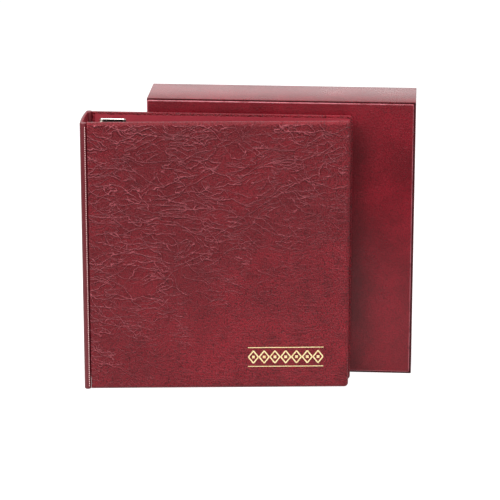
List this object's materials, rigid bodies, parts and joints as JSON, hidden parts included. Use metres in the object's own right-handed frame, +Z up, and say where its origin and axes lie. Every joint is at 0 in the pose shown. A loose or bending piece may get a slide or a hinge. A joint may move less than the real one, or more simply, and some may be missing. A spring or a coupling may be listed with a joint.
{
  "type": "stamp album",
  "caption": "Padded leather ring-binder stamp album with a multi-ring mechanism and punched leaves, standing beside its open-ended slipcase.",
  "frame": {"origin": "middle of the back cover's bottom edge, on the table", "axes": "+X along the back cover from the spine to the fore edge, -Y towards the front cover, +Z up"},
  "size_m": [0.3772, 0.1517, 0.328],
  "materials": {
    "padded_leather": "wrinkled, satin",
    "joint_leather": "smooth, satin",
    "foam": "matt foam",
    "greyboard": "matt",
    "lining": "fine grain, matt",
    "leaf_card": "matt",
    "clear_film": "clear, glossy",
    "case_covering": "fine grain, satin",
    "case_lining": "matt",
    "nickel_steel": "bright nickel plate"
  },
  "bodies": {
    "back_cover": {"back_skin": "padded_leather", "back_padding": "foam", "back_board": "greyboard", "back_lining": "lining", "ring_housing": "nickel_steel", "lever_pins": "nickel_steel", "mounting_rivets": "nickel_steel", "rivet_washers": "nickel_steel"},
    "spine": {"spine_skin": "joint_leather", "spine_board": "greyboard", "spine_lining": "lining", "front_joint_roll": "joint_leather", "back_joint_roll": "joint_leather"},
    "front_cover": {"front_skin": "padded_leather", "front_padding": "foam", "front_board": "greyboard", "front_lining": "lining"},
    "left_rings": {"left_carrier": "nickel_steel", "left_half_rings": "nickel_steel"},
    "right_rings": {"right_carrier": "nickel_steel", "right_half_rings": "nickel_steel"},
    "top_lever": {"top_lever": "nickel_steel"},
    "bottom_lever": {"bottom_lever": "nickel_steel"},
    "slipcase": {"case_front_board": "greyboard", "case_back_board": "greyboard", "case_top_board": "greyboard", "case_bottom_board": "greyboard", "case_end_board": "greyboard", "case_covering": "case_covering", "case_lining": "case_lining"},
    "leaf_1": {"leaf_1_card": "leaf_card", "leaf_1_strips": "clear_film"},
    "leaf_2": {"leaf_2_card": "leaf_card", "leaf_2_strips": "clear_film"},
    "leaf_3": {"leaf_3_card": "leaf_card", "leaf_3_strips": "clear_film"},
    "leaf_4": {"leaf_4_card": "leaf_card", "leaf_4_strips": "clear_film"},
    "leaf_5": {"leaf_5_card": "leaf_card", "leaf_5_strips": "clear_film"},
    "leaf_6": {"leaf_6_card": "leaf_card", "leaf_6_strips": "clear_film"}
  },
  "joints": [
    {"name": "spine_hinge", "type": "hinge", "parent": "back_cover", "child": "spine", "pos_m": [-0.1487, 0, 0.1585], "axis": [0, 0, -1], "range_deg": [0, 90]},
    {"name": "front_cover_hinge", "type": "hinge", "parent": "spine", "child": "front_cover", "pos_m": [-0.1487, -0.0535, 0.1585], "axis": [0, 0, -1], "range_deg": [0, 180]},
    {"name": "right_ring_opening", "type": "hinge", "parent": "back_cover", "child": "right_rings", "pos_m": [-0.1029, -0.00575, 0.1585], "axis": [0, 0, 1], "range_deg": [0, 6]},
    {"name": "left_ring_opening", "type": "hinge", "parent": "back_cover", "child": "left_rings", "pos_m": [-0.1361, -0.00575, 0.1585], "axis": [0, 0, -1], "range_deg": [0, 6]},
    {"name": "top_lever_tilt", "type": "hinge", "parent": "back_cover", "child": "top_lever", "pos_m": [-0.1195, -0.00825, 0.297], "axis": [-1, 0, 0], "range_deg": [0, 30]},
    {"name": "bottom_lever_tilt", "type": "hinge", "parent": "back_cover", "child": "bottom_lever", "pos_m": [-0.1195, -0.00825, 0.02], "axis": [1, 0, 0], "range_deg": [0, 30]},
    {"name": "slipcase_slide", "type": "slide", "parent": "back_cover", "child": "slipcase", "axis": [1, 0, 0], "range_m": [0, 0.1]},
    {"name": "leaf_1_turn", "type": "hinge", "parent": "back_cover", "child": "leaf_1", "pos_m": [-0.1195, -0.01675, 0.1585], "axis": [0, 0, -1], "range_deg": [0, 108]},
    {"name": "leaf_2_turn", "type": "hinge", "parent": "back_cover", "child": "leaf_2", "pos_m": [-0.1195, -0.01675, 0.1585], "axis": [0, 0, -1], "range_deg": [0, 86.4]},
    {"name": "leaf_3_turn", "type": "hinge", "parent": "back_cover", "child": "leaf_3", "pos_m": [-0.1195, -0.01675, 0.1585], "axis": [0, 0, -1], "range_deg": [0, 64.8]},
    {"name": "leaf_4_turn", "type": "hinge", "parent": "back_cover", "child": "leaf_4", "pos_m": [-0.1195, -0.01675, 0.1585], "axis": [0, 0, -1], "range_deg": [0, 43.2]},
    {"name": "leaf_5_turn", "type": "hinge", "parent": "back_cover", "child": "leaf_5", "pos_m": [-0.1195, -0.01675, 0.1585], "axis": [0, 0, -1], "range_deg": [0, 23.4]},
    {"name": "leaf_6_turn", "type": "hinge", "parent": "back_cover", "child": "leaf_6", "pos_m": [-0.1195, -0.01675, 0.1585], "axis": [0, 0, -1], "range_deg": [0, 7.2]}
  ],
  "couplings": [
    {"joint": "left_ring_opening", "follows": "right_ring_opening", "ratio": 1},
    {"joint": "top_lever_tilt", "follows": "right_ring_opening", "ratio": 5},
    {"joint": "bottom_lever_tilt", "follows": "right_ring_opening", "ratio": 5},
    {"joint": "leaf_1_turn", "follows": "front_cover_hinge", "ratio": 0.6},
    {"joint": "leaf_2_turn", "follows": "front_cover_hinge", "ratio": 0.48},
    {"joint": "leaf_3_turn", "follows": "front_cover_hinge", "ratio": 0.36},
    {"joint": "leaf_4_turn", "follows": "front_cover_hinge", "ratio": 0.24},
    {"joint": "leaf_5_turn", "follows": "front_cover_hinge", "ratio": 0.13},
    {"joint": "leaf_6_turn", "follows": "front_cover_hinge", "ratio": 0.04}
  ]
}
